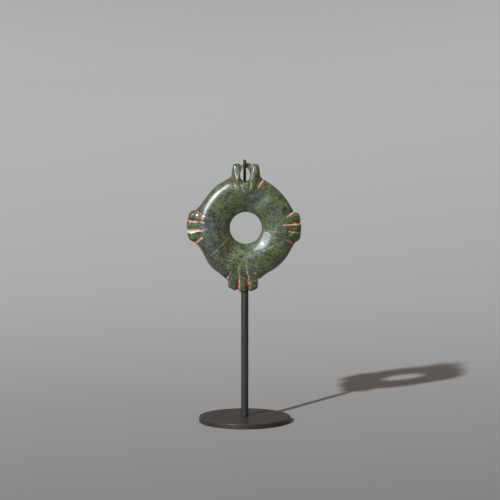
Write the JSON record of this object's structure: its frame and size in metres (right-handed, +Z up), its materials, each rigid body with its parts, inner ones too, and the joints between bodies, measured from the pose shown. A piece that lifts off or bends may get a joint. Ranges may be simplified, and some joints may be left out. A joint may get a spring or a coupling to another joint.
{
  "type": "greenstone parrot leg ring on a display stand",
  "caption": "Carved greenstone ring for a tame parrot's leg, with notched lugs and a pierced top lug, held upright by a slim black metal stand.",
  "frame": {"origin": "centre of the underside of the stand's round foot, on the post's axis", "axes": "+Z up along the post, the ring's carved front faces -Y, +X to the viewer's right"},
  "size_m": [0.0498, 0.04, 0.1153],
  "materials": {
    "greenstone": "polished nephrite, mottled grey-green to olive, with worn red pigment in the grooves",
    "stand_metal": "satin black lacquer"
  },
  "bodies": {
    "root": {"parrot_leg_ring": "greenstone", "stand_foot": "stand_metal", "stand_post": "stand_metal", "stand_hook": "stand_metal"}
  },
  "joints": []
}
